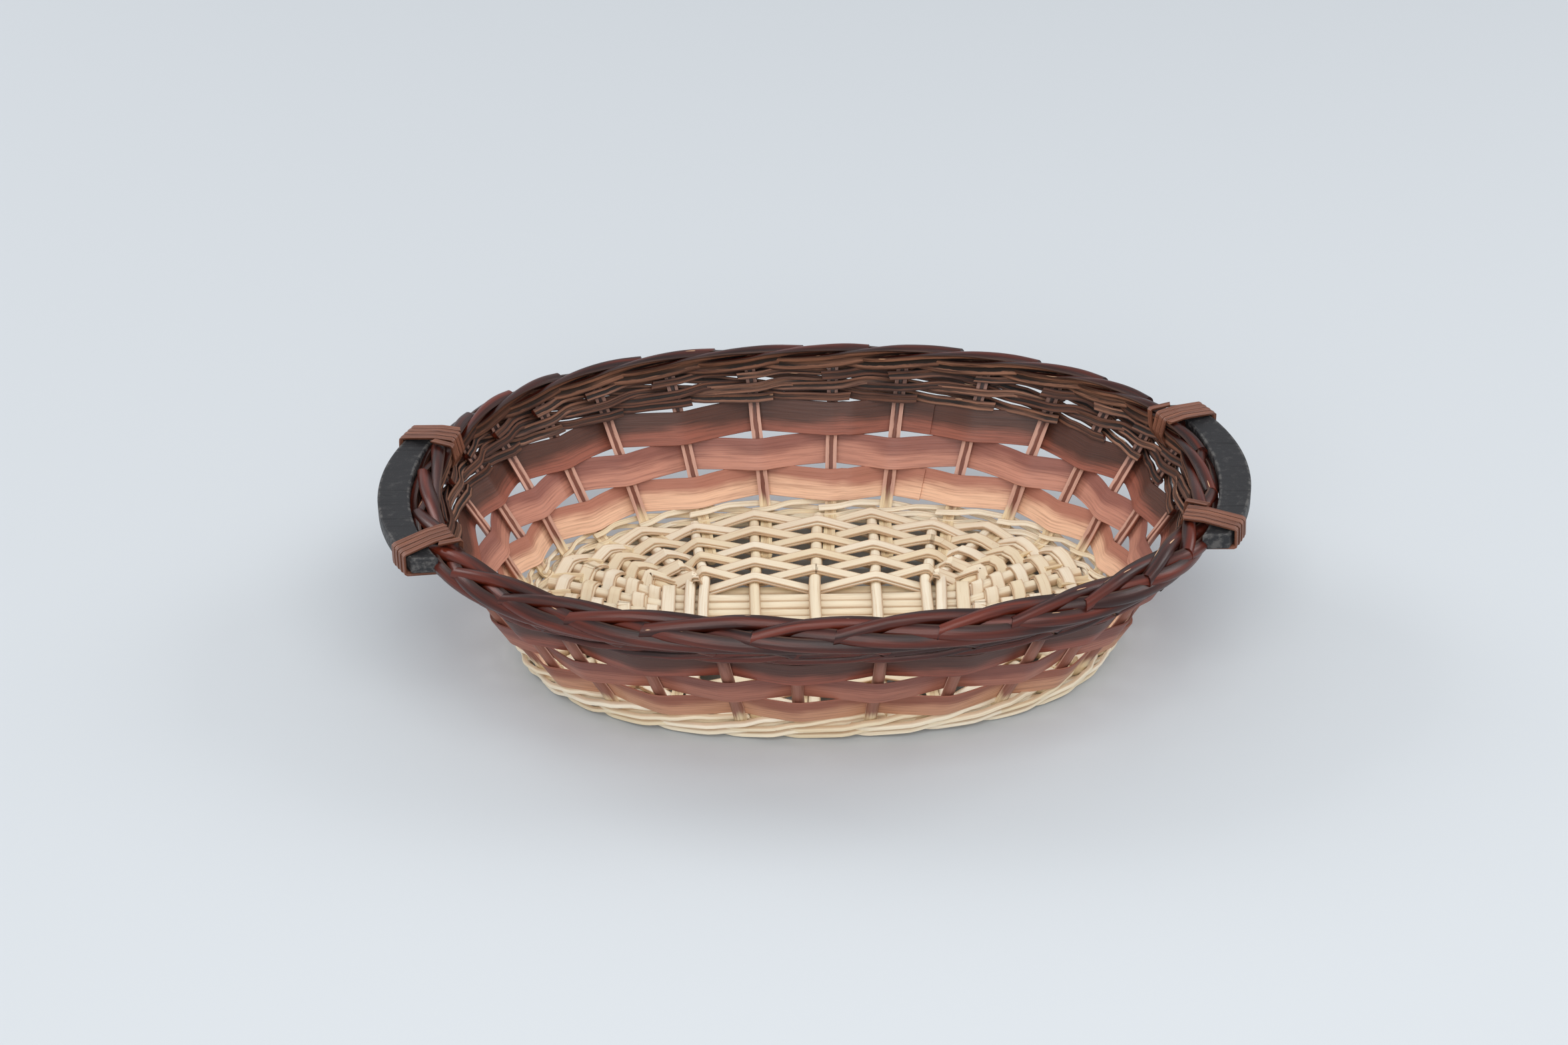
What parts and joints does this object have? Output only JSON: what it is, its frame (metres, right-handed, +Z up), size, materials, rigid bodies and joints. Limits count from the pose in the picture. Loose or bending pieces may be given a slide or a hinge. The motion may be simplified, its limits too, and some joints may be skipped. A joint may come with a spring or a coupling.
{
  "type": "woven wicker basket",
  "caption": "Shallow oval tray basket of split willow stakes, woven wood strips and willow rods, with a rolled rim border and curved wooden side handles lashed to it.",
  "frame": {"origin": "middle of the basket's footprint, on the surface it stands on", "axes": "+X along the basket's length towards a handle, +Y across its width, +Z up"},
  "size_m": [0.434, 0.2698, 0.09],
  "materials": {
    "white_willow": "natural peeled willow, unvarnished",
    "stained_stake": "split willow stained brown, fading to natural at the foot",
    "stained_strip": "thin wood strip stained red brown, satin",
    "dark_willow": "willow stained dark mahogany, glossy",
    "painted_wood": "wood painted matt black, worn at the edges",
    "brown_lashing": "split willow stained red brown, satin"
  },
  "bodies": {
    "root": {"cross_stick_1": "white_willow", "cross_stick_2": "white_willow", "cross_stick_3": "white_willow", "cross_stick_4": "white_willow", "cross_stick_5": "white_willow", "cross_stick_6": "white_willow", "cross_stick_7": "white_willow", "floor_skeins": "white_willow", "foot_wale": "white_willow", "handle_block_left": "painted_wood", "handle_block_right": "painted_wood", "handle_lashing_left": "brown_lashing", "handle_lashing_right": "brown_lashing", "long_stick_1": "white_willow", "long_stick_2": "white_willow", "long_stick_3": "white_willow", "long_stick_4": "white_willow", "long_stick_5": "white_willow", "long_stick_6": "white_willow", "long_stick_7": "white_willow", "long_stick_8": "white_willow", "rim_border": "dark_willow", "rim_wale": "dark_willow", "side_stake_01": "stained_stake", "side_stake_02": "stained_stake", "side_stake_03": "stained_stake", "side_stake_04": "stained_stake", "side_stake_05": "stained_stake", "side_stake_06": "stained_stake", "side_stake_07": "stained_stake", "side_stake_08": "stained_stake", "side_stake_09": "stained_stake", "side_stake_10": "stained_stake", "side_stake_11": "stained_stake", "side_stake_12": "stained_stake", "side_stake_13": "stained_stake", "side_stake_14": "stained_stake", "side_stake_15": "stained_stake", "side_stake_16": "stained_stake", "side_stake_17": "stained_stake", "side_stake_18": "stained_stake", "side_stake_19": "stained_stake", "side_stake_20": "stained_stake", "side_stake_21": "stained_stake", "side_stake_22": "stained_stake", "side_stake_23": "stained_stake", "side_stake_24": "stained_stake", "side_stake_25": "stained_stake", "side_stake_26": "stained_stake", "side_stake_27": "stained_stake", "side_stake_28": "stained_stake", "side_stake_29": "stained_stake", "side_stake_30": "stained_stake", "wood_strip_1": "stained_strip", "wood_strip_2": "stained_strip", "wood_strip_3": "stained_strip"}
  },
  "joints": []
}
